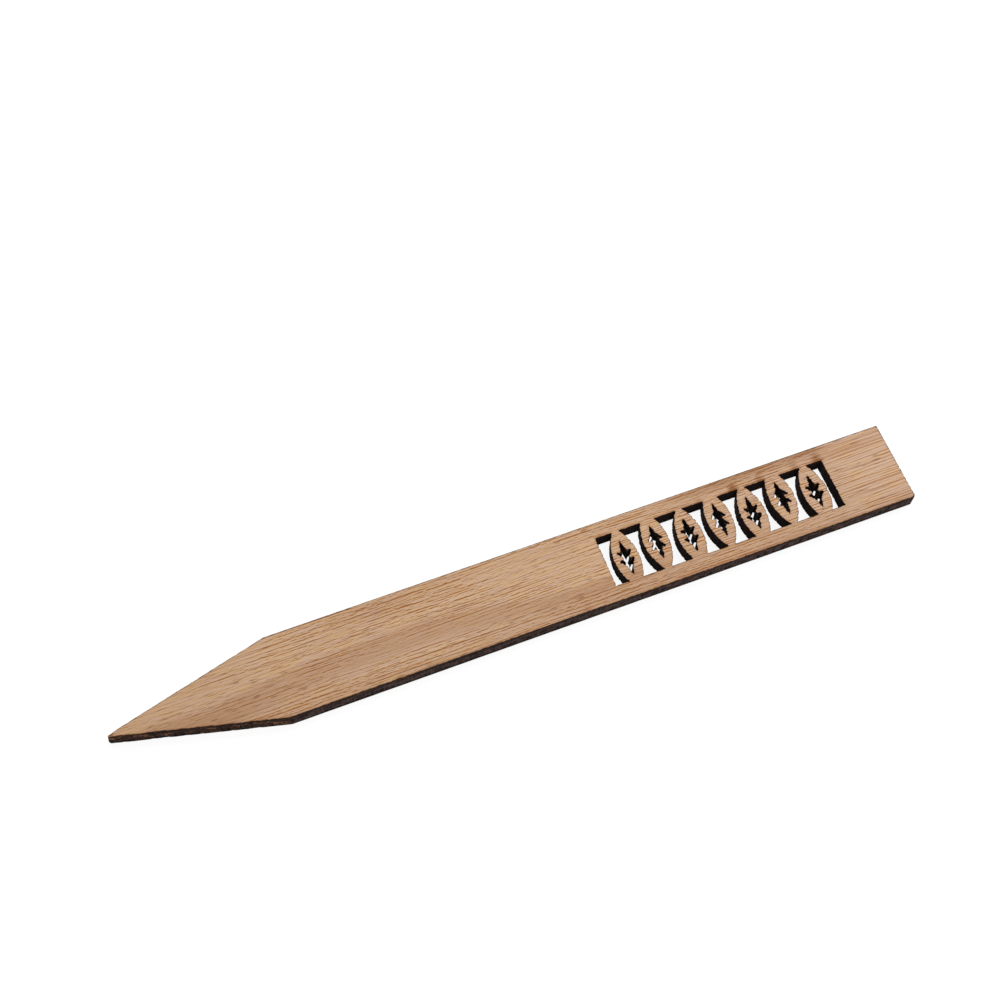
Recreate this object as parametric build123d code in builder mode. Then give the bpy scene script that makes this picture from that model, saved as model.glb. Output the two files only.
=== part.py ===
from build123d import *
import os

# Plant label stake: a flat pointed label, cut by laser from three-ply oak board, with a row of fretwork leaves.
# The board is a sandwich: an oak face veneer, a glue line, a cross-grain core, a second glue line and an oak
# back veneer. The beam cuts one plan through all of them, so every layer has the same outline.
# Millimetres, with +X from the tip to the square end, +Y across the stake and +Z up from the back face.
# The origin is at the middle of the length and the width, on the back face that the stake lies on.

# Board: the thickness of each kind of layer
veneer_thickness = 0.6
glue_thickness = 0.1
core_thickness = 2.8

# Outline of the stake
stake_length = 190.5
stake_width = 20.0
point_length = 38.5
tip_width = 0.3
end_corner_radius = 0.3

# Fretwork band, cut away round a row of leaves that stand from rail to rail
band_height = 12.4
band_to_end = 16.5
leaf_count = 7
leaf_gap = 1.73

# One leaf
leaf_width = 6.2
leaf_root_width = 3.8
leaf_tip_width = 2.0
leaf_belly_rise = 5.4
leaf_overlap = 0.5

# Slits through one leaf: a midrib, and pairs of side veins that branch from it
midrib_width = 1.3
midrib_to_root = 1.4
midrib_to_tip = 2.6
vein_pairs = 2
vein_length = 2.3
vein_foot_width = 0.7
vein_tip_width = 0.3
vein_angle = 42.0
vein_pitch = 2.2
first_vein_rise = 1.9

# Places that follow from the sizes above
end_x = stake_length / 2
tip_x = -stake_length / 2
shoulder_x = tip_x + point_length
band_length = leaf_count * leaf_width + (leaf_count + 1) * leaf_gap
band_x = end_x - band_to_end - band_length / 2
rail_y = band_height / 2
belly_y = leaf_belly_rise - rail_y
midrib_root_y = midrib_to_root - rail_y
midrib_tip_y = rail_y - midrib_to_tip
midrib_middle_y = (midrib_root_y + midrib_tip_y) / 2
vein_feet = [(0, midrib_root_y + first_vein_rise + pair * vein_pitch) for pair in range(vein_pairs)]

# Leaves stand root down and root up by turns, evenly along the band
first_leaf_x = band_x - band_length / 2 + leaf_gap + leaf_width / 2
leaf_pitch = leaf_width + leaf_gap
leaf_places = [
    Location((first_leaf_x + number * leaf_pitch, 0), 180 * (number % 2))
    for number in range(leaf_count)
]


# Outline: a long rectangle with a straight-sided, slightly blunt point
with BuildSketch() as outline:
    with BuildLine():
        Polyline(
            (tip_x, -tip_width / 2),
            (shoulder_x, -stake_width / 2),
            (end_x, -stake_width / 2),
            (end_x, stake_width / 2),
            (shoulder_x, stake_width / 2),
            (tip_x, tip_width / 2),
            close=True,
        )
    make_face()
    fillet(outline.vertices().group_by(Axis.X)[-1], radius=end_corner_radius)


# Leaf: each side is two arcs that share an upright tangent at the belly, and both ends run on into the rails
with BuildSketch() as leaf:
    with BuildLine():
        belly = (leaf_width / 2, belly_y)
        root = (leaf_root_width / 2, -rail_y)
        tip = (leaf_tip_width / 2, rail_y)
        TangentArc(belly, root, tangent=(0, -1))
        TangentArc(belly, tip, tangent=(0, 1))
        Polyline(root, (leaf_root_width / 2, -rail_y - leaf_overlap), (0, -rail_y - leaf_overlap))
        Polyline(tip, (leaf_tip_width / 2, rail_y + leaf_overlap), (0, rail_y + leaf_overlap))
        mirror(about=Plane.YZ)
    make_face()


# Slits of one leaf: a lens-shaped midrib, with tapering veins that branch upwards from its centre line
with BuildSketch() as leaf_slits:
    with BuildLine():
        ThreePointArc((0, midrib_root_y), (midrib_width / 2, midrib_middle_y), (0, midrib_tip_y))
        mirror(about=Plane.YZ)
    make_face()
    with Locations(*vein_feet):
        with PolarLocations(0, 2, 90 - vein_angle, 2 * vein_angle, endpoint=True):
            Polygon(
                (0, -vein_foot_width / 2),
                (vein_length, -vein_tip_width / 2),
                (vein_length, vein_tip_width / 2),
                (0, vein_foot_width / 2),
            )


# Fretwork: what the beam takes out of the band, which is the gaps round the leaves and the slits in them
with BuildSketch() as fretwork:
    with Locations((band_x, 0)):
        Rectangle(band_length, band_height)
    with Locations(*leaf_places):
        add(leaf.sketch, mode=Mode.SUBTRACT)
        add(leaf_slits.sketch)


# Plan that the beam follows through the whole board
with BuildSketch() as plan:
    add(outline.sketch)
    add(fretwork.sketch, mode=Mode.SUBTRACT)


# Layers, from the back face up; each lies face to face on the one below
layers = [
    ("back_veneer", veneer_thickness),
    ("back_glue_line", glue_thickness),
    ("core_ply", core_thickness),
    ("face_glue_line", glue_thickness),
    ("face_veneer", veneer_thickness),
]

os.makedirs("parts", exist_ok=True)
layer_bottom = 0.0
for layer_name, layer_thickness in layers:
    with BuildPart() as layer:
        with BuildSketch(Plane.XY.offset(layer_bottom)):
            add(plan.sketch)
        extrude(amount=layer_thickness)
    layer.part.label = layer_name
    export_step(layer.part, f"parts/{layer_name}.step")
    print(f"{layer_name}: from {layer_bottom:.2f} to {layer_bottom + layer_thickness:.2f} mm up")
    layer_bottom += layer_thickness
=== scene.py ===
# %% [markdown]
# # A plant label stake, cut by laser from oak-faced board
# The real stake is a flat strip of three-ply board with a point at one end and a row of fretwork leaves near
# the other. A laser cut it out, so its faces are bare sanded oak and every cut edge is burnt almost black.
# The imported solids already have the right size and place. This lesson gives each layer a real cut edge and a
# real finish, and never moves what it was given.

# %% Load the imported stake
import math

import bmesh
import bpy
import numpy as np
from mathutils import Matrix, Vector, geometry, kdtree


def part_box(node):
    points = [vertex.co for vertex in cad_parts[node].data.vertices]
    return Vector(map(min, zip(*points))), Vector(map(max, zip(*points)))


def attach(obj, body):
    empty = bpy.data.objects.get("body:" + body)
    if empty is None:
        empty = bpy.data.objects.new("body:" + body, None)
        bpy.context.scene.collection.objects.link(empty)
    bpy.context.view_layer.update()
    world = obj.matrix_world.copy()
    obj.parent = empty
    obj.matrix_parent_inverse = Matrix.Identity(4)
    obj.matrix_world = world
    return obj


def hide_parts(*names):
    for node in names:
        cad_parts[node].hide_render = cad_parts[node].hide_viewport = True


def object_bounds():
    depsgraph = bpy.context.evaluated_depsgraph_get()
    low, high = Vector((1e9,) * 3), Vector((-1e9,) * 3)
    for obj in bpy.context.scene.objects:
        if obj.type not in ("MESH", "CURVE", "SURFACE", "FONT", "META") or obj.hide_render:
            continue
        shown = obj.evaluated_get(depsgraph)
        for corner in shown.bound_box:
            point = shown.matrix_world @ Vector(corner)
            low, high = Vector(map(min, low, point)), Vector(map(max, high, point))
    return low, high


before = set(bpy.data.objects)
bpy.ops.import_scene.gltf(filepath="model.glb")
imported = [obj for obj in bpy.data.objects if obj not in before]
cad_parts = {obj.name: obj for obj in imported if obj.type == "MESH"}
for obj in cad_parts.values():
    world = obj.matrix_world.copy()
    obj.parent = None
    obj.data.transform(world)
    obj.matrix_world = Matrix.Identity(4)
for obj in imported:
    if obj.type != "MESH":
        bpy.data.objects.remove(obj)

MM = 0.001
cad_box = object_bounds()
print("CAD box in mm:", [[round(value / MM, 2) for value in corner] for corner in cad_box])

# %% [markdown]
# ## The path of the beam
# One plan was cut through the whole board, so its outline can be read once, from the rim of the top layer.
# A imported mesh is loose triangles, so a copy is welded first. The rim is then every edge that belongs to just
# one triangle of the top face. Walking it the way the triangles run keeps the wood on the left of the path.

# %% Read the beam's path from the top layer
WELD = 0.001 * MM


def path_length(loop):
    return np.linalg.norm(np.roll(loop, -1, 0) - loop, axis=1).sum()


def rim_loops(node):
    """Closed loops of (x, y) points in mm round the top face of a flat node, longest loop first."""
    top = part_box(node)[1].z
    shape = bmesh.new()
    shape.from_mesh(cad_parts[node].data)
    bmesh.ops.remove_doubles(shape, verts=shape.verts, dist=WELD)
    shape.verts.index_update()
    for face in shape.faces:
        face.tag = all(abs(corner.co.z - top) < WELD for corner in face.verts)
    next_corner = {}
    for face in shape.faces:
        for loop in face.loops:
            if face.tag and sum(other.tag for other in loop.edge.link_faces) == 1:
                next_corner[loop.vert.index] = loop.link_loop_next.vert.index
    places = {corner.index: corner.co.xy / MM for corner in shape.verts}
    shape.free()
    loops = []
    while next_corner:
        walk = [min(next_corner)]
        while walk[-1] in next_corner:
            walk.append(next_corner.pop(walk[-1]))
        loops.append(np.array([places[index] for index in walk[:-1]]))
    return sorted(loops, key=path_length, reverse=True)


rough_loops = rim_loops("face_veneer")
print("loops on the plan:", len(rough_loops), "longest in mm:", round(path_length(rough_loops[0]), 1))

# %% [markdown]
# ## Even steps along the path
# The burnt edge will get fine ridges, so the path needs points much closer together than the solid has.
# Each run between two sharp corners is divided evenly. The corners themselves stay, because the beam turns
# crisply there.

# %% Divide the path into even steps
PATH_STEP = 0.16
CORNER_TURN = math.radians(25)


def even_steps(loop):
    """The same loop with points about PATH_STEP apart, and with its sharp corners kept."""
    ahead = np.roll(loop, -1, 0) - loop
    heading = np.arctan2(ahead[:, 1], ahead[:, 0])
    turn = np.abs(np.angle(np.exp(1j * (heading - np.roll(heading, 1)))))
    corners = np.flatnonzero(turn > CORNER_TURN)
    runs = []
    for start, end in zip(corners, np.roll(corners, -1)):
        count = (end - start) % len(loop)
        run = loop[(start + np.arange(count + 1)) % len(loop)]
        gone = np.concatenate([[0], np.cumsum(np.linalg.norm(np.diff(run, axis=0), axis=1))])
        steps = max(1, round(gone[-1] / PATH_STEP))
        places = np.linspace(0, gone[-1], steps, endpoint=False)
        runs.append(np.column_stack([np.interp(places, gone, run[:, axis]) for axis in (0, 1)]))
    return np.vstack(runs)


loops = [even_steps(loop) for loop in rough_loops]
outline = loops[0]
rim = np.vstack(loops)
print("points on the path:", len(rim), "of which round the outline:", len(outline))

# %% [markdown]
# ## Directions on the path
# Two facts are kept for every point of the path: which way is out of the wood, and how far along the cut it
# lies. The burn will eat straight against the first, and the beam's ridges are counted along the second.

# %% Find the way out of the wood and the distance along the cut
def outward_normals(loop):
    """Unit vectors out of the wood, which lies on the left of the path."""
    heading = np.roll(loop, -1, 0) - np.roll(loop, 1, 0)
    heading /= np.linalg.norm(heading, axis=1)[:, None]
    return np.column_stack([heading[:, 1], -heading[:, 0]])


def travelled(loop):
    steps = np.linalg.norm(np.diff(loop, axis=0), axis=1)
    return np.concatenate([[0], np.cumsum(steps)])


rim_outward = np.vstack([outward_normals(loop) for loop in loops])
rim_along = np.concatenate([travelled(loop) for loop in loops])
print("mean way out, near zero for closed loops:", rim_outward.mean(0).round(3))

# %% [markdown]
# ## How deep the burn bites
# The beam slows down at every turn of the fretwork and bites deep there. Round the outline it bites deeper on
# the near side than on the far side, and deeper on the slanting point, which crosses the grain, than along
# the blade. The very tip is spared, or it would burn away. Painted shade is noted too: it blackens the walls of
# the narrow openings of the fretwork, where shade falls, and leaves the outside a lighter grey.

# %% Set the bite and the painted shade of every point
POINT_BITE = 0.8
BLADE_BITE = 0.45
TIP_BITE = 0.08
TIP_LENGTH = 3.0
NEAR_SIDE = 2.0
FAR_SIDE = 0.65
SIDE_CHANGE = 1.0


def ramp(values, middle, width):
    """A soft step from 0 to 1 that is half way at the middle, or from 1 to 0 if the width is negative."""
    return 1 / (1 + np.exp(-(values - middle) / width))


def bite_on_outline(loop):
    """The burn's depth round the outline, as a share of its depth in the fretwork."""
    x, y = loop.T
    shoulder = x[y > y.max() - PATH_STEP / 10].min()
    on_point = np.clip(POINT_BITE * (x - x.min()) / TIP_LENGTH, TIP_BITE, POINT_BITE)
    side = FAR_SIDE + (NEAR_SIDE - FAR_SIDE) * ramp(y, 0, -SIDE_CHANGE)
    return side * np.where(x < shoulder, on_point, BLADE_BITE)


fretwork_count = len(rim) - len(outline)
rim_bite = np.concatenate([bite_on_outline(outline), np.ones(fretwork_count)])
# Painted shade: the walls of the fretwork get 1, so they are painted darker where shade falls in the narrow
# openings.
rim_painted_shade = np.repeat([0.0, 1.0], [len(outline), fretwork_count])
print("bite, as a share: from", rim_bite.min().round(2), "to", rim_bite.max().round(2))

# %% [markdown]
# ## A face with points inside it
# Scorch fades away from the cut, so the flat faces need points inside them to carry that fading. They are
# laid in staggered rows, close together near a cut and sparse in the middle of the blade, and joined up by a
# constrained Delaunay triangulation, which keeps every step of the path as an edge.

# %% Fill the plan with points and triangles
FINE_STEP = 0.42
COARSE_EVERY = 3
FINE_REACH = 1.6
RIM_CLEARANCE = 0.36
SAME_POINT = 1e-5
INSIDE_WITH_HOLES = 2


def row_of_points(height, shift):
    """Points along one row of the plan that lie inside the wood, by counting the path's crossings."""
    crossings = []
    for loop in loops:
        ends = np.roll(loop, -1, 0)
        cut = (loop[:, 1] > height) != (ends[:, 1] > height)
        share = (height - loop[cut, 1]) / (ends[cut, 1] - loop[cut, 1])
        crossings.append(loop[cut, 0] + share * (ends[cut, 0] - loop[cut, 0]))
    crossings = np.sort(np.concatenate(crossings))
    xs = np.arange(rim[:, 0].min() + shift, rim[:, 0].max(), FINE_STEP)
    inside = np.searchsorted(crossings, xs) % 2 == 1
    return np.column_stack([xs[inside], np.full(inside.sum(), height)])


rim_tree = kdtree.KDTree(len(rim))
for index, point in enumerate(rim):
    rim_tree.insert((*point, 0), index)
rim_tree.balance()

inner = []
heights = np.arange(rim[:, 1].min() + FINE_STEP / 2, rim[:, 1].max(), FINE_STEP)
for row, height in enumerate(heights):
    for column, point in enumerate(row_of_points(height, FINE_STEP * (row % 2) / 2)):
        gap = rim_tree.find((*point, 0))[2]
        sparse = row % COARSE_EVERY == 0 and column % COARSE_EVERY == 0
        if gap > RIM_CLEARANCE and (gap < FINE_REACH or sparse):
            inner.append(point)

plan_points = np.vstack([rim, inner])
starts = np.concatenate([[0], np.cumsum([len(loop) for loop in loops])])
loop_faces = [list(range(start, end)) for start, end in zip(starts, starts[1:])]
filled = geometry.delaunay_2d_cdt(
    [Vector(point) for point in plan_points], [], loop_faces, INSIDE_WITH_HOLES, SAME_POINT)
origins = [origin[0] for origin in filled[3]]
plan_triangles = np.array([[origins[index] for index in face] for face in filled[2]])
print("plan:", len(plan_points), "points and", len(plan_triangles), "triangles")

# %% [markdown]
# ## Haze from the cut
# The jet of air that keeps the lens clean drives smoke over the board. A thin haze of it lies on the oak
# round the band, from where the lens began to get dirty, but not on the leaves. A narrow haze lies along the
# near edge, faint on the blade and stronger beside the band. It is one number for each point of the plan,
# which the finish will turn into colour.

# %% Lay the haze
HAZE = 0.14
HAZE_REACH = 3.0
HAZE_FROM_X = 36.0
EDGE_HAZE = 0.20
EDGE_HAZE_ON_BLADE = 0.09
EDGE_HAZE_WIDTH = 2.0
EDGE_HAZE_FADE = 0.6
FACES_NEAR_SIDE = -0.5

plan_x, plan_y = plan_points.T
band = np.vstack(loops[1:])
beside_band = np.clip(np.abs(plan_points - band.mean(0)) - np.ptp(band, axis=0) / 2, 0, None)
smoky = ramp(plan_x, HAZE_FROM_X, HAZE_REACH)
haze = HAZE * smoky * np.exp(-np.linalg.norm(beside_band, axis=1) / HAZE_REACH)
haze *= beside_band.any(axis=1)

near_edge = outline[rim_outward[:len(outline), 1] < FACES_NEAR_SIDE]
near_edge = near_edge[near_edge[:, 0].argsort()]
from_near_edge = plan_y - np.interp(plan_x, *near_edge.T)
edge_haze = EDGE_HAZE_ON_BLADE + (EDGE_HAZE - EDGE_HAZE_ON_BLADE) * smoky
edge_haze *= ramp(from_near_edge, EDGE_HAZE_WIDTH, -EDGE_HAZE_FADE)
haze = np.maximum(haze, edge_haze)
print("darkest haze:", haze.max().round(2), "mean haze:", haze.mean().round(3))

# %% [markdown]
# ## Stains beyond the openings
# Smoke that blows out of an opening crosses the far rail. It stains the oak brown at the opening's far corner
# and settles along the far edge. The stains start near the middle of the band and grow darker towards its
# end, as the lens gets dirtier. A draw with a fixed seed makes some of them stronger than others.

# %% Add the stains
PLUME_WIDTH = 1.2
PLUME_REACH = 2.2
PLUME_RISE = 0.25
PLUME_SHIFT = 0.8
PLUME_FROM_X = 42.0
PLUME_FULL_X = 56.0
PLUME_STRENGTHS = (0.5, 1.5)
SMOKE_SEED = 1637
SETTLED = 0.56
SETTLED_FROM_Y = 8.2
SETTLED_WIDTH = 0.45


def far_corner(loop):
    """The corner of an opening that lies furthest to the far side and then furthest from the point."""
    far_side = loop[loop[:, 1] > loop[:, 1].max() - PATH_STEP]
    return far_side[far_side[:, 0].argmax()]


far_rail = band[:, 1].max() - PATH_STEP
openings = [loop for loop in loops[1:] if loop[:, 1].max() > far_rail]
openings.sort(key=lambda loop: loop[:, 0].max())

settled = SETTLED * ramp(plan_y, SETTLED_FROM_Y, SETTLED_WIDTH)
settled *= ramp(plan_x, PLUME_FROM_X, HAZE_REACH) * np.exp(-beside_band[:, 0] / HAZE_REACH)
smoke = np.maximum(haze, settled)
strengths = np.random.default_rng(SMOKE_SEED).uniform(*PLUME_STRENGTHS, len(openings))
for loop, strength in zip(openings, strengths):
    source = far_corner(loop) - (PLUME_SHIFT, 0)
    strength *= np.clip((source[0] - PLUME_FROM_X) / (PLUME_FULL_X - PLUME_FROM_X), 0, 1)
    aside, beyond = (plan_points - source).T
    plume = np.exp(-(aside / PLUME_WIDTH) ** 2 - np.clip(beyond, 0, None) / PLUME_REACH)
    smoke = np.maximum(smoke, strength * plume * ramp(beyond, -PLUME_RISE, PLUME_RISE))
print("openings:", len(openings), "darkest smoke:", smoke.max().round(2))

# %% [markdown]
# ## Heat beside the cut
# Heat drifts the same way as the smoke. The oak is toasted where it lies beyond its nearest cut, and stays
# almost clean where it lies before it.

# %% Work out the heat
SHELTERED = 0.15

nearest_rim = [rim_tree.find((*point, 0))[1] for point in plan_points]
heat = np.clip(-rim_outward[nearest_rim, 1], SHELTERED, 1)
print("share of the plan beyond its nearest cut:", (heat > SHELTERED).mean().round(2))

# %% [markdown]
# ## What every point carries
# The burn and the finish need to know what was worked out for each place on the plan, so every point of a
# layer carries it as attributes. The whole underside counts as hot, because the bed that the board lay on
# throws the heat back.

# %% Gather what every point carries
def on_rim(values):
    """Values for the rim's points, followed by zeros for the points inside the plan."""
    return np.concatenate([values, np.zeros((len(plan_points) - len(rim), *values.shape[1:]))])


def spread(at_bottom, at_top, rings):
    """Values for the bottom, for the top, and for rings of the wall, which take those of the top's rim."""
    return np.concatenate([at_bottom, at_top] + [at_top[:len(rim)]] * rings)


ways_out = on_rim(np.column_stack([rim_outward, np.zeros(len(rim))]))
# One mark carries the painted shade of the fretwork walls.
marks = {"along": on_rim(rim_along), "bite": on_rim(rim_bite), "painted_shade": on_rim(rim_painted_shade), "smoke": smoke}
marks_below = {**marks, "warmth": np.ones(len(plan_points))}
marks_above = {**marks, "warmth": heat}
print("every point carries outward and", ", ".join(marks_above))

# %% [markdown]
# ## Blanks for the layers
# Each layer starts as a plain blank: the plan at its top and at its bottom, with a wall between them. A thick
# wall has several rings, so that the ridges can slant. Wall faces are marked as cut.

# %% Make a blank for each layer
LAYERS = {
    # the layer's name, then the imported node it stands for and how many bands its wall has
    "oak_face": ("face_veneer", 4),
    "upper_glue": ("face_glue_line", 1),
    "cross_core": ("core_ply", 7),
    "lower_glue": ("back_glue_line", 1),
    "oak_back": ("back_veneer", 4),
}
step_ahead = np.concatenate([np.roll(np.arange(start, end), -1) for start, end in zip(starts, starts[1:])])


def new_object(name, data):
    made = bpy.data.objects.new(name, data)
    bpy.context.scene.collection.objects.link(made)
    return made


def make_blank(name, node, wall_bands):
    """A closed slab on the plan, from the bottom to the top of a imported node."""
    bottom, top = (corner.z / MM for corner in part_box(node))
    count, rim_count = len(plan_points), len(rim)
    inner_levels = np.linspace(bottom, top, wall_bands + 1)[1:-1]
    rings = len(inner_levels)
    levels = [np.column_stack([plan_points, np.full(count, level)]) for level in (bottom, top)]
    levels += [np.column_stack([rim, np.full(rim_count, level)]) for level in inner_levels]
    ring_starts = [0] + [2 * count + ring * rim_count for ring in range(rings)] + [count]
    here = np.arange(rim_count)
    walls = np.vstack([
        np.column_stack([low + here, low + step_ahead, high + step_ahead, high + here])
        for low, high in zip(ring_starts, ring_starts[1:])])

    mesh = bpy.data.meshes.new(name)
    faces = plan_triangles[:, ::-1].tolist() + (plan_triangles + count).tolist() + walls.tolist()
    mesh.from_pydata((np.vstack(levels) * MM).tolist(), [], faces)
    outward = spread(ways_out, ways_out, rings)
    mesh.attributes.new("outward", "FLOAT_VECTOR", "POINT").data.foreach_set("vector", outward.ravel())
    for mark in marks_above:
        values = spread(marks_below[mark], marks_above[mark], rings)
        mesh.attributes.new(mark, "FLOAT", "POINT").data.foreach_set("value", values)
    is_wall = np.repeat([0.0, 1.0], [2 * len(plan_triangles), len(walls)])
    mesh.attributes.new("cut_wall", "FLOAT", "FACE").data.foreach_set("value", is_wall)
    return new_object(name, mesh)


blanks = {name: make_blank(name, node, bands) for name, (node, bands) in LAYERS.items()}
for name, blank in blanks.items():
    print(name, "blank:", len(blank.data.vertices), "points,", len(blank.data.polygons), "faces")

# %% [markdown]
# ## Helpers for node trees
# Geometry trees and shader trees are built from the same few helpers, so that a tree reads almost like a
# formula: add a node, do a sum, step softly from one value to another, or read a noise. A noise is told the
# size of its cells, in the unit of the place that it is given.

# %% Define the node helpers
NOISE_STEP = (1.0, 1.7, 2.3)


def add_node(tree, kind, inputs=(), **settings):
    """Add a node. Each input is given a socket to link from, or a plain value."""
    made = tree.nodes.new(kind)
    for setting, value in settings.items():
        setattr(made, setting, value)
    for key, value in dict(inputs).items():
        if isinstance(value, bpy.types.NodeSocket):
            tree.links.new(value, made.inputs[key])
        else:
            made.inputs[key].default_value = value
    return made


def calculate(tree, operation, *values):
    return add_node(tree, "ShaderNodeMath", enumerate(values), operation=operation).outputs[0]


def times(tree, value, *factors):
    for factor in factors:
        value = calculate(tree, "MULTIPLY", value, factor)
    return value


def times_plus(tree, value, factor, extra):
    return calculate(tree, "MULTIPLY_ADD", value, factor, extra)


def vector_math(tree, operation, *values):
    return add_node(tree, "ShaderNodeVectorMath", enumerate(values), operation=operation).outputs[0]


def axes(tree, place):
    return add_node(tree, "ShaderNodeSeparateXYZ", {0: place}).outputs


def soft_step(tree, value, start, end):
    """0 on the start side, 1 on the end side, and smooth between them."""
    inputs = {"Value": value, "From Min": start, "From Max": end}
    return add_node(tree, "ShaderNodeMapRange", inputs, interpolation_type="SMOOTHSTEP").outputs[0]


def noise(tree, place, cell, detail=0.0, roughness=0.5, shift=0.0, dimensions="2D"):
    """Noise whose cells have these sizes along X, Y and Z. Another shift gives another pattern."""
    squeeze = [1 / size for size in cell] + [0] * (3 - len(cell))
    spot = vector_math(tree, "MULTIPLY_ADD", place, squeeze, [shift * step for step in NOISE_STEP])
    inputs = {"Vector": spot, "Scale": 1.0, "Detail": detail, "Roughness": roughness}
    return add_node(tree, "ShaderNodeTexNoise", inputs, noise_dimensions=dimensions).outputs[0]


def new_tree(name, kind, inputs, outputs):
    """A node group with named sockets, and its input and output nodes."""
    tree = bpy.data.node_groups.new(name, kind)
    for direction, sockets in (("INPUT", inputs), ("OUTPUT", outputs)):
        for socket_name, socket_kind in sockets.items():
            tree.interface.new_socket(socket_name, in_out=direction, socket_type="NodeSocket" + socket_kind)
    return tree, tree.nodes.new("NodeGroupInput").outputs, tree.nodes.new("NodeGroupOutput").inputs


print("node helpers are ready")

# %% [markdown]
# ## What the beam takes away
# A pulsed beam leaves fine slanted ridges on the wall of the cut. It also burns soft bands of grain deeper
# than hard ones, so an edge that crosses the grain comes out ragged and one along the grain comes out smooth.
# The thin tip burns back too, most at the top, where the beam enters, and a little at its foot. Each of these
# is a short run of nodes that puts out a depth in millimetres.

# %% Define the depth of ridges, of ragged grain and of the burnt tip
STAKE_TIP = cad_box[0][0] / MM
BOARD_TOP = cad_box[1][2] / MM
PATCH_CELL = (1.4, 1.4, 2.0)
SOFT_GRAIN_EDGES = (0.45, 0.75)
CROSSING_POWER = 0.5


def carried(tree, name, kind="FLOAT"):
    return add_node(tree, "GeometryNodeInputNamedAttribute", {"Name": name}, data_type=kind).outputs[0]


def ridge_depth(tree, given, seeded, height):
    slanted = times_plus(tree, height, given["Ridge Slant"], carried(tree, "along"))
    turns = calculate(tree, "DIVIDE", slanted, given["Ridge Pitch"])
    swing = calculate(tree, "SINE", times(tree, turns, math.tau))
    above_zero = times_plus(tree, swing, 0.5, 0.5)
    patchy = noise(tree, seeded, PATCH_CELL, dimensions="3D")
    return times(tree, above_zero, patchy, given["Ridge Depth"])


def ragged_depth(tree, given, seeded, outward):
    grain_place = vector_math(tree, "MULTIPLY", seeded, given["Grain Rate"])
    soft_grain = soft_step(tree, noise(tree, grain_place, (1, 1), detail=1.0), *SOFT_GRAIN_EDGES)
    inputs = {0: outward, 1: given["Grain Along"]}
    facing = add_node(tree, "ShaderNodeVectorMath", inputs, operation="DOT_PRODUCT").outputs["Value"]
    crossing = calculate(tree, "POWER", calculate(tree, "ABSOLUTE", facing), CROSSING_POWER)
    return times(tree, soft_grain, crossing, given["Ragged Depth"])


def tip_depth(tree, given, length, height):
    to_tip = soft_step(tree, calculate(tree, "SUBTRACT", length, STAKE_TIP), given["Tip Reach"], 0.0)
    from_top = times(tree, calculate(tree, "DIVIDE", height, BOARD_TOP), given["Tip Burn"])
    at_foot = soft_step(tree, height, given["Foot Height"], 0.0)
    back = times_plus(tree, at_foot, given["Tip Foot"], from_top)
    return times(tree, back, to_tip)


print("tip at x", round(STAKE_TIP, 2), "mm, board", round(BOARD_TOP, 2), "mm thick")

# %% [markdown]
# ## The burnt edge
# Ridges and ragged grain follow the path of the cut, so one Geometry Nodes tree makes them for every layer.
# It adds a slow waver, scales the sum by the bite, and moves each rim point that far into the wood, so the
# stake stays inside its packed size. The tree also measures each point's distance from the cut, which the
# scorch marks need later.

# %% Build the tree for a burnt edge
BURN_INPUTS = {
    "Geometry": "Geometry", "Cut Path": "Object", "Finish": "Material", "Ridge Pitch": "Float",
    "Ridge Depth": "Float", "Ridge Slant": "Float", "Ragged Depth": "Float", "Wave Depth": "Float",
    "Grain Along": "Vector", "Grain Rate": "Vector", "Tip Burn": "Float", "Tip Reach": "Float",
    "Tip Foot": "Float", "Foot Height": "Float", "Seed": "Float",
}
WAVER_CELL = (5.0, 5.0, 3.0)


def build_burnt_edge():
    tree, given, result = new_tree("burnt_edge", "GeometryNodeTree", BURN_INPUTS, {"Geometry": "Geometry"})
    metres = tree.nodes.new("GeometryNodeInputPosition").outputs[0]
    path = add_node(tree, "GeometryNodeObjectInfo", {"Object": given["Cut Path"]}).outputs["Geometry"]
    level_place = vector_math(tree, "MULTIPLY", metres, (1, 1, 0))
    inputs = {"Geometry": path, "Sample Position": level_place}
    nearest = add_node(tree, "GeometryNodeProximity", inputs, target_element="EDGES").outputs["Distance"]
    distance = calculate(tree, "DIVIDE", nearest, MM)
    inputs = {"Geometry": given["Geometry"], "Name": "edge_distance", "Value": distance}
    measured = add_node(tree, "GeometryNodeStoreNamedAttribute", inputs, data_type="FLOAT", domain="POINT")

    place = vector_math(tree, "DIVIDE", metres, (MM, MM, MM))
    seeded = vector_math(tree, "ADD", place, given["Seed"])
    length, _, height = axes(tree, place)
    outward = carried(tree, "outward", "FLOAT_VECTOR")
    ridges = ridge_depth(tree, given, seeded, height)
    ragged = ragged_depth(tree, given, seeded, outward)
    waver = noise(tree, seeded, WAVER_CELL, detail=1.0, dimensions="3D")
    depth = times_plus(tree, waver, given["Wave Depth"], calculate(tree, "ADD", ridges, ragged))
    depth = times(tree, depth, carried(tree, "bite"))

    inputs = {0: outward, "Scale": times(tree, depth, -MM)}
    inset = add_node(tree, "ShaderNodeVectorMath", inputs, operation="SCALE").outputs[0]
    back = times(tree, tip_depth(tree, given, length, height), MM)
    from_tip = add_node(tree, "ShaderNodeCombineXYZ", {0: back}).outputs[0]
    shift = vector_math(tree, "ADD", inset, from_tip)
    burnt = add_node(tree, "GeometryNodeSetPosition", {"Geometry": measured.outputs[0], "Offset": shift})
    realized = add_node(tree, "GeometryNodeRealizeInstances", {"Geometry": burnt.outputs[0]})
    inputs = {"Geometry": realized.outputs[0], "Material": given["Finish"]}
    finished = add_node(tree, "GeometryNodeSetMaterial", inputs)
    tree.links.new(finished.outputs[0], result["Geometry"])
    return tree


burnt_edge = build_burnt_edge()
print("burnt edge tree:", len(burnt_edge.nodes), "nodes")

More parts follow.
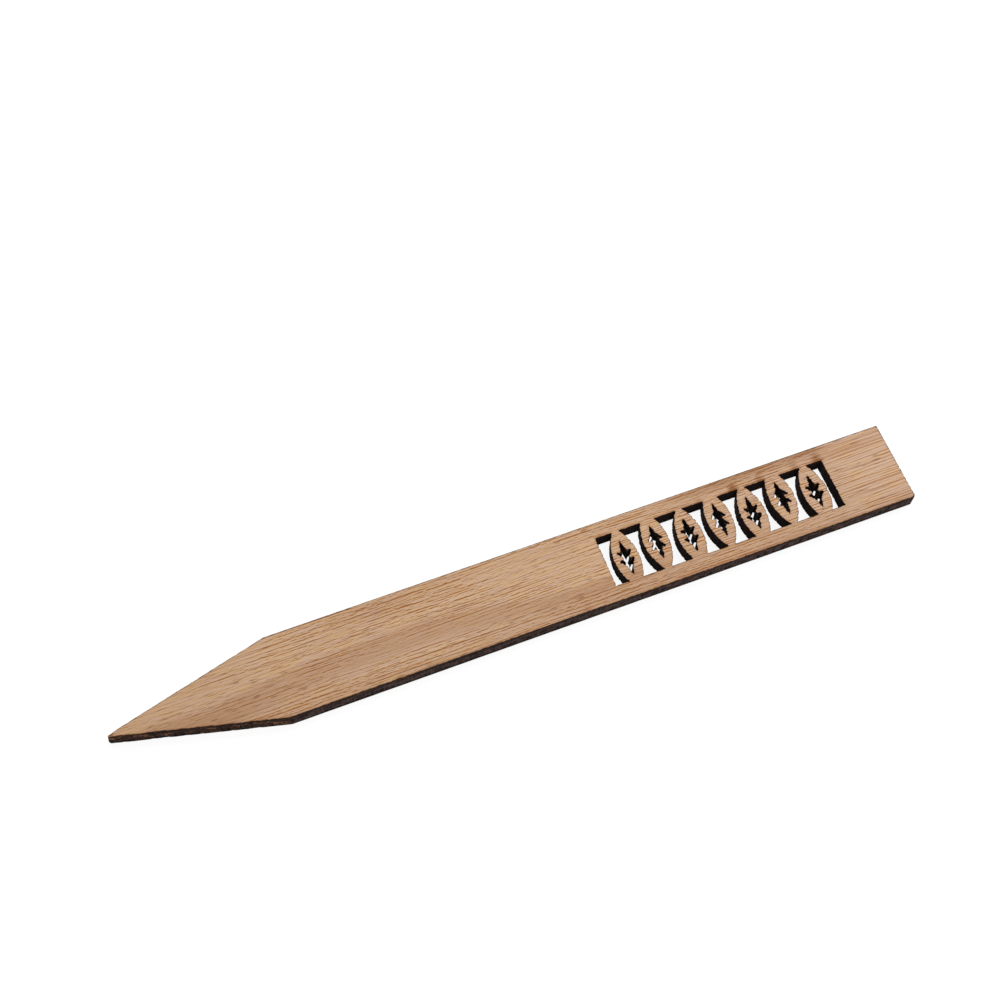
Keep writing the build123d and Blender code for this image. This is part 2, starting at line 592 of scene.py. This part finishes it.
# %% [markdown]
# ## Colours of oak
# Colours are easiest to judge on a screen, so they are written as screen values and turned into the linear
# light that shaders work in. Sanded oak veneer swings between a pale and a golden tan and has dusky zones.
# Its grain lines and its open pores are brown.

# %% Mix the colours of the oak
def colour(red, green, blue):
    """Linear light for a colour as it looks on a screen, from 0 to 255."""
    shares = [value / 255 for value in (red, green, blue)]
    linear = [value / 12.92 if value < 0.04045 else ((value + 0.055) / 1.055) ** 2.4 for value in shares]
    return (*linear, 1.0)


def mix(tree, share, first, second):
    """A mixed colour: the first where the share is 0, and the second where it is 1."""
    return add_node(tree, "ShaderNodeMix", {0: share, 6: first, 7: second}, data_type="RGBA").outputs[2]


PALE_OAK = colour(201, 171, 148)
GOLD_OAK = colour(204, 169, 132)
DUSKY_OAK = colour(172, 133, 102)
LINE_BROWN = colour(152, 99, 52)
PORE_BROWN = colour(122, 78, 44)
print("golden oak as linear light:", [round(value, 3) for value in GOLD_OAK[:3]])

# %% [markdown]
# ## Fibre lines
# Sliced fibres show as fine brown lines, each with a paler flank. A noise less a copy of itself, read a
# little to one side, gives just that. Four noises are added up, with cells much longer than they are wide:
# the longest make lines along the blade and the shortest make specks. Some zones are livelier than others,
# the point is calm, and the short lines fade at the square end.

# %% Define the fibre lines
FIBRES = (
    # length and width of a cell in mm, and weight in the sum
    (40, 0.30, 1.0),
    (11, 0.28, 1.0),
    (3.2, 0.26, 0.8),
    (1.0, 0.20, 0.75),
)
FIRST_SHIFT = 3.1
NEXT_SHIFT = 4.6
FLANK = 0.29
SHORT_FIBRE = 5.0
SHORT_AT_END = 0.35
FIBRE_LEAST = 0.65
FIBRE_GAIN = 0.8
CALM = 0.55
LINE_FROM, LINE_TO = -0.5, 0.75
LINE_POWER = 1.9


def fibre_lines(tree, bent, at_end, vigour, lively):
    """How brown the fibres make each spot, from 0 to 1."""
    beside = vector_math(tree, "ADD", bent, (0, FLANK, 0))
    short_share = times_plus(tree, at_end, SHORT_AT_END - 1, 1.0)
    fibre = 0.0
    for number, (length, width, weight) in enumerate(FIBRES):
        shift = FIRST_SHIFT + NEXT_SHIFT * number
        here = noise(tree, bent, (length, width), shift=shift)
        there = noise(tree, beside, (length, width), shift=shift)
        ridge = times(tree, calculate(tree, "SUBTRACT", here, there), weight)
        if length < SHORT_FIBRE:
            ridge = times(tree, ridge, short_share)
        fibre = calculate(tree, "ADD", ridge, fibre)
    strength = times_plus(tree, vigour, FIBRE_GAIN, FIBRE_LEAST)
    calm = times_plus(tree, lively, 1 - CALM, CALM)
    fibre = times(tree, fibre, strength, calm)
    inputs = {"Value": fibre, "From Min": LINE_FROM, "From Max": LINE_TO}
    return calculate(tree, "POWER", add_node(tree, "ShaderNodeMapRange", inputs).outputs[0], LINE_POWER)


print("kinds of fibre:", len(FIBRES))

# %% [markdown]
# ## Late wood and pores
# Late wood adds a few long dark lines, fainter on the blade than at the square end. Pores that the slicing
# knife opened add short dark dashes, which come in patches. Both are noises too, but only their peaks are
# kept.

# %% Define the late wood and the pores
LATE_CELL = (34, 0.36)
LATE_EDGES = (0.60, 0.80)
LATE_WOOD = 0.62
LATE_ON_BLADE = 0.6
PORE_CELL = (3.4, 0.26)
PORE_EDGES = (0.69, 0.80)
PORE_PATCH_CELL = (40, 4)
PORE_PATCH_EDGES = (0.45, 0.65)


def late_lines(tree, bent, at_end, vigour):
    late = soft_step(tree, noise(tree, bent, LATE_CELL, shift=71.9), *LATE_EDGES)
    share = calculate(tree, "MAXIMUM", times(tree, vigour, LATE_ON_BLADE), at_end)
    return times(tree, share, LATE_WOOD, late)


def open_pores(tree, place, bent):
    pore = soft_step(tree, noise(tree, bent, PORE_CELL, shift=33.7), *PORE_EDGES)
    patch = soft_step(tree, noise(tree, place, PORE_PATCH_CELL, shift=41.1), *PORE_PATCH_EDGES)
    return times(tree, pore, patch)


print("pores are about", PORE_CELL[0], "mm long and", PORE_CELL[1], "mm wide")

# %% [markdown]
# ## The heart band
# A dusky, cooler band of heart runs along the face. It dips on the point and drops towards the near edge on
# its way to the fretwork, where it fades out, and from there on the wood grows cooler. The band is a soft
# upper edge and a soft foot, both drawn as heights across the stake that change along it.

# %% Define the heart band
HEART_TOP = 1.7
HEART_DROP = 4.8
HEART_DROPS_X = (-24.0, 14.0)
HEART_DIP = 3.0
HEART_DIPS_X = (-44.0, -78.0)
HEART_RIM = (-0.5, 1.5)
HEART_THICK = 6.0
HEART_THINNING = 2.0
HEART_FADE = 2.0
HEART_END_X = 20.0
HEART_GONE_X = 45.0
COOL_FOOT = (9.0, 6.0)
END_FULL_X = 82.0


def heart_band(tree, along, across, share):
    """How dusky and how cool the heart makes each spot."""
    drop = soft_step(tree, along, *HEART_DROPS_X)
    dip = soft_step(tree, along, *HEART_DIPS_X)
    upper_edge = times_plus(tree, drop, -HEART_DROP, HEART_TOP)
    upper_edge = times_plus(tree, dip, -HEART_DIP, upper_edge)
    depth = calculate(tree, "SUBTRACT", upper_edge, across)
    before_end = soft_step(tree, along, HEART_GONE_X, HEART_END_X)
    heart = times(tree, soft_step(tree, depth, *HEART_RIM), share, before_end)
    cool = times(tree, heart, soft_step(tree, depth, *COOL_FOOT))
    cool = calculate(tree, "ADD", soft_step(tree, along, HEART_END_X, END_FULL_X), cool)
    thickness = times_plus(tree, drop, -HEART_THINNING, HEART_THICK)
    below_foot = calculate(tree, "SUBTRACT", depth, thickness)
    heart = times(tree, heart, soft_step(tree, below_foot, HEART_FADE, -HEART_FADE))
    return heart, cool


print("the heart band drops", HEART_DROP, "mm on its way to the fretwork")

# %% [markdown]
# ## Oak grain
# This group puts the wood together, in millimetres of the stake itself, so the grain stays on the wood from
# every side. A slow drift bends all the lines a little. Fine bands swing the tint between pale and golden,
# and less golden where the wood is cool. Clouds, the heart and the calm point are dusky, and the square end
# is pale. The lines and the pores go on top, and they are also put out as grooves.

# %% Build the oak grain group
DRIFT = 1.6
DRIFT_CELL = (55, 9)
END_FROM_X = 74.0
LIVELY_X = (-72.0, -52.0)
VIGOUR_CELL = (30, 4.0)
VIGOUR_EDGES = (0.25, 0.75)
CLOUD_CELL = (60, 11)
CLOUD_EDGES = (0.35, 0.75)
CLOUD_SHARE = 0.26
HEART_SHARE = 0.56
CALM_DUSK = 0.14
PALE_END = 0.9
TINT_CELL = (7, 0.55)
TINT_EDGES = (0.35, 0.65)
WARM_SHIFT = 0.03
COOL_SHIFT = 0.10
PORE_SHARE = 0.6

GRAIN_INPUTS = {"Position": "Vector", "Shift": "Vector", "Heart": "Float"}
GRAIN_OUTPUTS = {"Colour": "Color", "Lines": "Float", "Height": "Float"}


def build_oak_grain():
    tree, given, result = new_tree("oak_grain", "ShaderNodeTree", GRAIN_INPUTS, GRAIN_OUTPUTS)
    place = vector_math(tree, "ADD", given["Position"], given["Shift"])
    along, across, _ = axes(tree, given["Position"])
    drift = noise(tree, place, DRIFT_CELL, detail=1.0)
    drift = times_plus(tree, drift, DRIFT, -DRIFT / 2)
    sideways = add_node(tree, "ShaderNodeCombineXYZ", {1: drift}).outputs[0]
    bent = vector_math(tree, "ADD", place, sideways)

    at_end = soft_step(tree, along, END_FROM_X, END_FULL_X)
    lively = soft_step(tree, along, *LIVELY_X)
    vigour = soft_step(tree, noise(tree, bent, VIGOUR_CELL, detail=1.0, shift=133.2), *VIGOUR_EDGES)
    line = fibre_lines(tree, bent, at_end, vigour, lively)
    line = calculate(tree, "MAXIMUM", line, late_lines(tree, bent, at_end, vigour))
    pore = open_pores(tree, place, bent)

    heart, cool = heart_band(tree, along, across, given["Heart"])
    clouds = soft_step(tree, noise(tree, place, CLOUD_CELL, shift=293.78), *CLOUD_EDGES)
    dusk = times_plus(tree, heart, HEART_SHARE, times(tree, clouds, CLOUD_SHARE))
    dusk = calculate(tree, "ADD", dusk, times_plus(tree, lively, -CALM_DUSK, CALM_DUSK))
    dusk = times(tree, dusk, times_plus(tree, at_end, -PALE_END, 1.0))

    bands = noise(tree, bent, TINT_CELL, detail=2.0, shift=12.3)
    warm = times_plus(tree, cool, -COOL_SHIFT, calculate(tree, "ADD", bands, WARM_SHIFT))
    wood = mix(tree, soft_step(tree, warm, *TINT_EDGES), PALE_OAK, GOLD_OAK)
    wood = mix(tree, dusk, wood, DUSKY_OAK)
    wood = mix(tree, line, wood, LINE_BROWN)
    wood = mix(tree, times(tree, pore, PORE_SHARE), wood, PORE_BROWN)
    groove = calculate(tree, "MAXIMUM", line, pore)
    tree.links.new(wood, result["Colour"])
    tree.links.new(groove, result["Lines"])
    tree.links.new(calculate(tree, "SUBTRACT", 1.0, groove), result["Height"])
    return tree


oak_grain = build_oak_grain()
print("oak grain group:", len(oak_grain.nodes), "nodes")

# %% [markdown]
# ## Char
# The wall of the cut is charcoal: a very dark, slightly warm grey, mottled and ridged, and blackest at its
# upper and lower lips. On the point it is browner, with rust-brown flecks where the skin of the char has
# flaked off. Elsewhere flecks are faint, and painted shade blackens the walls of the fretwork, where shade
# falls in the narrow openings. Veneer, core and glue all burn alike, so they share one group, and each
# material only says how strongly its flecks show.

# %% Build the char group
CHAR_BLACK = colour(24, 15, 13)
CHAR_GREY = colour(86, 71, 68)
LIP_BLACK = colour(24, 15, 12)
CHAR_UMBER = colour(72, 54, 47)
RUST_DARK = colour(88, 54, 38)
RUST_PALE = colour(182, 128, 90)
# Near black for the painted shade on the walls of the fretwork openings.
PAINTED_SHADE_BLACK = colour(5, 3, 3)

MOTTLE_CELL = (2.6, 2.6, 1.0)
RIDGE_CELL = (0.45, 0.45, 4.0)
FLAKE_CELL = (3.6, 3.6, 0.8)
GRIT_CELL = (0.5, 0.5, 0.5)
RIDGE_SHARE = 0.4
MOTTLE_SHARE = 0.8
ASH_EDGES = (0.42, 0.76)
CHAR_LIP_HEIGHT = 1.2
CHAR_LIP_SHARE = 0.6
RUSTY_X = (-50.0, -62.0)
RARE_RUST = 0.25
FRAYING = 0.25
FLAKE_EDGES = (0.71, 0.80)
RUST_EDGES = (0.35, 0.65)
# How far the painted shade darkens the walls of the fretwork openings.
PAINTED_SHADE_SHARE = 0.5
CHAR_SMOOTHEST = 0.70
CHAR_ROUGHER = 0.25

CHAR_INPUTS = {"Position": "Vector", "Flecks": "Float", "Painted Shade": "Float"}
CHAR_OUTPUTS = {"Colour": "Color", "Roughness": "Float", "Height": "Float"}


def build_char():
    tree, given, result = new_tree("laser_char", "ShaderNodeTree", CHAR_INPUTS, CHAR_OUTPUTS)
    place = given["Position"]
    along, _, height = axes(tree, place)
    mottle = noise(tree, place, MOTTLE_CELL, detail=3.0, roughness=0.65, dimensions="3D")
    ridges = noise(tree, place, RIDGE_CELL, detail=1.0, shift=5.3, dimensions="3D")
    flake = noise(tree, place, FLAKE_CELL, detail=2.0, shift=9.4, dimensions="3D")
    grit = noise(tree, place, GRIT_CELL, detail=2.0, shift=14.2, dimensions="3D")

    ash = times_plus(tree, ridges, RIDGE_SHARE, times(tree, mottle, MOTTLE_SHARE))
    on_point = soft_step(tree, along, *RUSTY_X)
    ashen = mix(tree, on_point, CHAR_GREY, CHAR_UMBER)
    skin = mix(tree, soft_step(tree, ash, *ASH_EDGES), CHAR_BLACK, ashen)
    full_lip = CHAR_LIP_HEIGHT / 3
    upper_lip = soft_step(tree, height, BOARD_TOP - CHAR_LIP_HEIGHT, BOARD_TOP - full_lip)
    lower_lip = soft_step(tree, height, CHAR_LIP_HEIGHT, full_lip)
    lip = times(tree, calculate(tree, "MAXIMUM", upper_lip, lower_lip), CHAR_LIP_SHARE)
    skin = mix(tree, lip, skin, LIP_BLACK)

    often = times_plus(tree, on_point, 1 - RARE_RUST, RARE_RUST)
    frayed = times_plus(tree, grit, FRAYING, flake)
    bare = times(tree, soft_step(tree, frayed, *FLAKE_EDGES), given["Flecks"], often)
    rust = mix(tree, soft_step(tree, grit, *RUST_EDGES), RUST_DARK, RUST_PALE)
    skin = mix(tree, bare, skin, rust)
    # Painted shade: the walls of the fretwork openings are darkened towards black, where shade falls.
    skin = mix(tree, times(tree, given["Painted Shade"], PAINTED_SHADE_SHARE), skin, PAINTED_SHADE_BLACK)
    roughness = times_plus(tree, mottle, CHAR_ROUGHER, CHAR_SMOOTHEST)
    tree.links.new(skin, result["Colour"])
    tree.links.new(roughness, result["Roughness"])
    tree.links.new(calculate(tree, "ADD", ridges, mottle), result["Height"])
    return tree


laser_char = build_char()
print("char group:", len(laser_char.nodes), "nodes")

# %% [markdown]
# ## Scorch on the faces
# Beside the cut the oak is toasted, over a few tenths of a millimetre, from tan to orange-brown, and the very
# lip is black. On the blade and the point the black is wider along the near edge than along the far one, and
# it fades at the tip. Where smoke lies, a brown stain goes on top and clings to the grain. The group takes
# the distance from the cut, the smoke and the warmth that the pieces carry, and returns the marked wood.

# %% Build the scorch group
TOAST_BROWN = colour(158, 106, 66)
SMOKE_BROWN = colour(130, 80, 40)
LIP_BROWN = colour(38, 24, 17)

UNEVEN_CELL = (4.0, 1.2)
PATCHY_CELL = (1.1, 0.6)
TOAST_LEAST = 0.2
TOAST_UNEVEN = 1.6
CLING_LEAST = 0.5
CLING_ON_LINES = 0.5
CLING_UNEVEN = 0.8
STAIN_LIMIT = 0.9
LIP_THINNEST = 0.01
LIP_OFFSET = -0.105
LIP_UNEVEN = 0.55
LIP_MORE = 0.26
LIP_LESS = 0.08
BLADE_X = (24.0, 14.0)
LIP_SOLID = 0.3
LIP_FADE = 3.0

SCORCH_INPUTS = {
    "Position": "Vector", "Wood": "Color", "Lines": "Float", "Edge Distance": "Float",
    "Smoke": "Float", "Warmth": "Float", "Toast Width": "Float", "Toast": "Float",
}


def build_scorch():
    tree, given, result = new_tree("laser_scorch", "ShaderNodeTree", SCORCH_INPUTS, {"Colour": "Color"})
    uneven = noise(tree, given["Position"], UNEVEN_CELL, detail=2.0, shift=2.2)
    stretch = times_plus(tree, uneven, TOAST_UNEVEN, TOAST_LEAST)
    reach = times(tree, given["Toast Width"], stretch)
    near = calculate(tree, "SUBTRACT", 1.0, calculate(tree, "DIVIDE", given["Edge Distance"], reach))
    toast = times(tree, soft_step(tree, near, 0.0, 1.0), given["Toast"], given["Warmth"])
    wood = mix(tree, toast, given["Wood"], TOAST_BROWN)

    cling = times_plus(tree, given["Lines"], CLING_ON_LINES, CLING_LEAST)
    cling = times_plus(tree, uneven, CLING_UNEVEN, cling)
    stain = calculate(tree, "MINIMUM", times(tree, given["Smoke"], cling), STAIN_LIMIT)
    wood = mix(tree, stain, wood, SMOKE_BROWN)

    patchy = noise(tree, given["Position"], PATCHY_CELL, detail=1.0, shift=6.1)
    along = axes(tree, given["Position"])[0]
    more = times_plus(tree, given["Warmth"], LIP_MORE + LIP_LESS, -LIP_LESS)
    on_blade = soft_step(tree, along, *BLADE_X)
    lip_width = times_plus(tree, more, on_blade, LIP_OFFSET)
    lip_width = times_plus(tree, patchy, LIP_UNEVEN, lip_width)
    lip_width = calculate(tree, "MAXIMUM", lip_width, LIP_THINNEST)
    lip = soft_step(tree, calculate(tree, "DIVIDE", given["Edge Distance"], lip_width), 1.0, LIP_SOLID)
    lip = times(tree, lip, soft_step(tree, along, STAKE_TIP, STAKE_TIP + LIP_FADE))
    tree.links.new(mix(tree, lip, wood, LIP_BROWN), result["Colour"])
    return tree


laser_scorch = build_scorch()
print("scorch group:", len(laser_scorch.nodes), "nodes")

# %% [markdown]
# ## Starting a material
# Object coordinates are turned into millimetres first, so that the groups can speak in real sizes. Bare wood
# and char hardly shine, so each material sets a low specular level on its own shader.

# %% Define the parts of a material
BUMP_STRENGTH = 0.6


def start_material(name, specular):
    """A material with its shader, and the place on the stake in mm."""
    material = bpy.data.materials.new(name)
    material.use_nodes = True
    tree = material.node_tree
    shader = tree.nodes["Principled BSDF"]
    shader.inputs["Specular IOR Level"].default_value = specular
    metres = tree.nodes.new("ShaderNodeTexCoord").outputs["Object"]
    place = add_node(tree, "ShaderNodeVectorMath", {0: metres, "Scale": 1 / MM}, operation="SCALE")
    return material, tree, shader, place.outputs[0]


def add_group(tree, group, inputs):
    return add_node(tree, "ShaderNodeGroup", inputs, node_tree=group).outputs


def read_attribute(tree, name):
    return add_node(tree, "ShaderNodeAttribute", attribute_name=name).outputs["Fac"]


def add_char(tree, place, flecks):
    # The painted shade of the fretwork walls is read from the pieces.
    inputs = {"Position": place, "Flecks": flecks, "Painted Shade": read_attribute(tree, "painted_shade")}
    return add_group(tree, laser_char, inputs)


def add_bump(tree, shader, height, depth):
    inputs = {"Height": height, "Distance": depth * MM, "Strength": BUMP_STRENGTH}
    tree.links.new(add_node(tree, "ShaderNodeBump", inputs).outputs[0], shader.inputs["Normal"])


print("material helpers are ready")

# %% [markdown]
# ## Materials
# The veneers wear grain and scorch on their faces and char on their walls. The core and the glue lines show
# only as char. The back is cut from another part of the veneer, without the heart band, and it is toasted
# wider, because the bed throws the heat back.

# %% Build the materials
OAK_SMOOTHEST = 0.55
OAK_ROUGHER = 0.15
BACK_SHIFT = (310, 47, 0)


def oak_material(name, shift, heart, toast_width, toast, flecks):
    material, tree, shader, place = start_material(name, specular=0.05)
    grain = add_group(tree, oak_grain, {"Position": place, "Shift": shift, "Heart": heart})
    face = add_group(tree, laser_scorch, {
        "Position": place, "Wood": grain["Colour"], "Lines": grain["Lines"],
        "Edge Distance": read_attribute(tree, "edge_distance"), "Smoke": read_attribute(tree, "smoke"),
        "Warmth": read_attribute(tree, "warmth"), "Toast Width": toast_width, "Toast": toast})
    char = add_char(tree, place, flecks)
    wall = read_attribute(tree, "cut_wall")
    tree.links.new(mix(tree, wall, face["Colour"], char["Colour"]), shader.inputs["Base Color"])
    face_roughness = times_plus(tree, grain["Lines"], OAK_ROUGHER, OAK_SMOOTHEST)
    roughness = add_node(tree, "ShaderNodeMix", {0: wall, 2: face_roughness, 3: char["Roughness"]})
    tree.links.new(roughness.outputs[0], shader.inputs["Roughness"])
    height = add_node(tree, "ShaderNodeMix", {0: wall, 2: grain["Height"], 3: char["Height"]})
    add_bump(tree, shader, height.outputs[0], depth=0.05)
    return material


def char_material(name, flecks):
    material, tree, shader, place = start_material(name, specular=0.03)
    char = add_char(tree, place, flecks)
    tree.links.new(char["Colour"], shader.inputs["Base Color"])
    tree.links.new(char["Roughness"], shader.inputs["Roughness"])
    add_bump(tree, shader, char["Height"], depth=0.06)
    return material


FINISHES = {
    "oak_face": oak_material(
        "oak_face_finish", (0, 0, 0), heart=1.0, toast_width=0.8, toast=0.7, flecks=0.8),
    "upper_glue": char_material("upper_glue_finish", flecks=0.0),
    "cross_core": char_material("cross_core_finish", flecks=0.8),
    "lower_glue": char_material("lower_glue_finish", flecks=0.0),
    "oak_back": oak_material(
        "oak_back_finish", BACK_SHIFT, heart=0.0, toast_width=1.4, toast=0.9, flecks=0.6),
}
print("materials:", ", ".join(material.name for material in FINISHES.values()))

# %% [markdown]
# ## Burn the edges
# The path itself becomes a small object of bare edges, which the tree measures distances from. Then every
# blank gets the tree with its own values. Face and back have their grain along the stake, and the core has it
# across. The result is turned into a plain mesh, and the tree comes off again.

# %% Burn the edges of every layer
ALONG_STAKE = {"Grain Along": (1, 0, 0), "Grain Rate": (0.12, 1.6, 0.0)}
ACROSS_STAKE = {"Grain Along": (0, 1, 0), "Grain Rate": (1.6, 0.12, 0.0)}
EDGES = {
    # depth of the ragged grain and of the ridges in mm, and the way the grain runs
    "oak_face": (0.20, 0.03, ALONG_STAKE),
    "upper_glue": (0.16, 0.03, ALONG_STAKE),
    "cross_core": (0.14, 0.06, ACROSS_STAKE),
    "lower_glue": (0.10, 0.03, ALONG_STAKE),
    "oak_back": (0.12, 0.03, ALONG_STAKE),
}
SHARED_VALUES = {
    "Ridge Pitch": 0.55, "Ridge Slant": 0.18, "Wave Depth": 0.07, "Tip Burn": 0.75, "Tip Reach": 3.0,
    "Tip Foot": 0.40, "Foot Height": 1.3, "Seed": 4.0,
}
SMOOTH_TURN = math.radians(40)


def burn(name, path):
    """Run the burnt edge tree on a blank and keep its result as a plain mesh."""
    blank = blanks[name]
    modifier = blank.modifiers.new("burnt_edge", "NODES")
    modifier.node_group = burnt_edge
    ragged, ridge, grain = EDGES[name]
    values = {"Ragged Depth": ragged, "Ridge Depth": ridge, **grain, **SHARED_VALUES}
    values.update({"Cut Path": path, "Finish": FINISHES[name]})
    for item in burnt_edge.interface.items_tree:
        if item.in_out == "INPUT" and item.name in values:
            modifier[item.identifier] = values[item.name]
    evaluated = blank.evaluated_get(bpy.context.evaluated_depsgraph_get())
    mesh = bpy.data.meshes.new_from_object(evaluated)
    blank.modifiers.remove(modifier)
    blank.data = mesh
    mesh.name = name
    mesh.shade_smooth()
    mesh.set_sharp_from_angle(angle=SMOOTH_TURN)
    return blank


path_mesh = bpy.data.meshes.new("cut_path")
path_points = np.column_stack([rim, np.zeros(len(rim))]) * MM
path_edges = np.column_stack([np.arange(len(rim)), step_ahead])
path_mesh.from_pydata(path_points.tolist(), path_edges.tolist(), [])
cut_path = new_object("cut_path", path_mesh)
pieces = {name: burn(name, cut_path) for name in LAYERS}
bpy.data.objects.remove(cut_path)
for name, piece in pieces.items():
    triangles = sum(len(face.vertices) - 2 for face in piece.data.polygons)
    marks_kept = [attribute.name for attribute in piece.data.attributes if attribute.data_type == "FLOAT"]
    print(name, "has", triangles, "triangles and carries", ", ".join(marks_kept))

# %% [markdown]
# ## Stand the pieces in the frame
# Each finished layer takes the place of the imported solid that it was made from, and rides on the one body
# that the stake has.

# %% Put each layer in place of its solid
for name, (node, _) in LAYERS.items():
    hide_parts(node)
    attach(pieces[name], "root")

# %% [markdown]
# ## Floor
# The stake lies on a plain white table. The camera sees the floor close to pure white, because the floor adds
# a little light of its own on the way to the camera. Its darker part still takes the stake's shadow. Light
# that only bounces off the floor meets plain pale paint, so no extra light falls on the stake.

# %% Make the floor
FLOOR_SIZE = 6.0
PLAIN_PAINT = (0.82, 0.82, 0.82, 1)
SHADOWED_PAINT = (0.16, 0.16, 0.16, 1)
WHITE = (1, 1, 1, 1)
FLOOR_GLOW = 0.90


def seen_directly(tree):
    """1 on rays from the camera and on those that mirror or pass light, and 0 on light that only bounces."""
    rays = tree.nodes.new("ShaderNodeLightPath").outputs
    direct = calculate(tree, "MAXIMUM", rays["Is Camera Ray"], rays["Is Glossy Ray"])
    return calculate(tree, "MAXIMUM", direct, rays["Is Transmission Ray"])


table = bpy.data.materials.new("white_table")
table.use_nodes = True
tree = table.node_tree
tree.nodes.clear()
plain = add_node(tree, "ShaderNodeBsdfDiffuse", {"Color": PLAIN_PAINT}).outputs[0]
shadowed = add_node(tree, "ShaderNodeBsdfDiffuse", {"Color": SHADOWED_PAINT}).outputs[0]
glow = add_node(tree, "ShaderNodeEmission", {"Color": WHITE, "Strength": FLOOR_GLOW}).outputs[0]
both = add_node(tree, "ShaderNodeAddShader", {0: shadowed, 1: glow}).outputs[0]
shown = add_node(tree, "ShaderNodeMixShader", {0: seen_directly(tree), 1: plain, 2: both}).outputs[0]
add_node(tree, "ShaderNodeOutputMaterial", {"Surface": shown})

half = FLOOR_SIZE / 2
floor_mesh = bpy.data.meshes.new("table")
floor_corners = [(-half, -half, 0), (half, -half, 0), (half, half, 0), (-half, half, 0)]
floor_mesh.from_pydata(floor_corners, [], [(0, 1, 2, 3)])
floor_mesh.materials.append(table)
new_object("table", floor_mesh)
print("floor:", FLOOR_SIZE, "m across")

# %% [markdown]
# ## Light
# Soft white light comes from all round, and one large lamp stands at the far end of the stake. It throws the
# faint shadow and keeps the near wall dark. The sky that the camera sees is pure white, while the sky that
# lights the stake is weaker.

# %% Make the sky and the lamp
SKY_LIGHT = 0.62
LAMP_PLACE = Vector((0.30, 0.22, 0.55))
LAMP_AIM = Vector((0.03, 0, 0))
LAMP_SIZE = 0.35
LAMP_WATTS = 2.5


def stand_and_aim(made, place, aim):
    made.location = place
    made.rotation_mode = "QUATERNION"
    made.rotation_quaternion = (aim - place).to_track_quat("-Z", "Y")


world = bpy.data.worlds.new("soft_sky")
bpy.context.scene.world = world
world.use_nodes = True
tree = world.node_tree
tree.nodes.clear()
strength = add_node(tree, "ShaderNodeMix", {0: seen_directly(tree), 2: SKY_LIGHT, 3: 1.0}).outputs[0]
sky = add_node(tree, "ShaderNodeBackground", {"Color": WHITE, "Strength": strength})
add_node(tree, "ShaderNodeOutputWorld", {"Surface": sky.outputs[0]})

light = bpy.data.lights.new("far_softbox", "AREA")
light.size = LAMP_SIZE
light.energy = LAMP_WATTS
stand_and_aim(new_object("far_softbox", light), LAMP_PLACE, LAMP_AIM)
print("sky light:", SKY_LIGHT, "lamp watts:", LAMP_WATTS)

# %% [markdown]
# ## Camera
# The viewpoint was found by fitting the straight edges of the stake: it looks down steeply from the near
# side, about a third of a metre away. The focal length is written for a frame of 1000 by 1000 pixels.

# %% Place the camera
EYE = Vector((-0.04952, -0.11967, 0.31392))
AIM = Vector((0.00526, 0.02516, 0.0))
FRAME_PIXELS = 1000
FOCAL_PIXELS = 1488
SENSOR = 36.0
NEAREST_SEEN = 0.01

camera = new_object("camera", bpy.data.cameras.new("camera"))
camera.data.sensor_width = SENSOR
camera.data.lens = FOCAL_PIXELS / FRAME_PIXELS * SENSOR
camera.data.clip_start = NEAREST_SEEN
stand_and_aim(camera, EYE, AIM)
bpy.context.scene.camera = camera
bpy.context.scene.view_settings.view_transform = "Standard"
print("lens in mm:", round(camera.data.lens, 2))
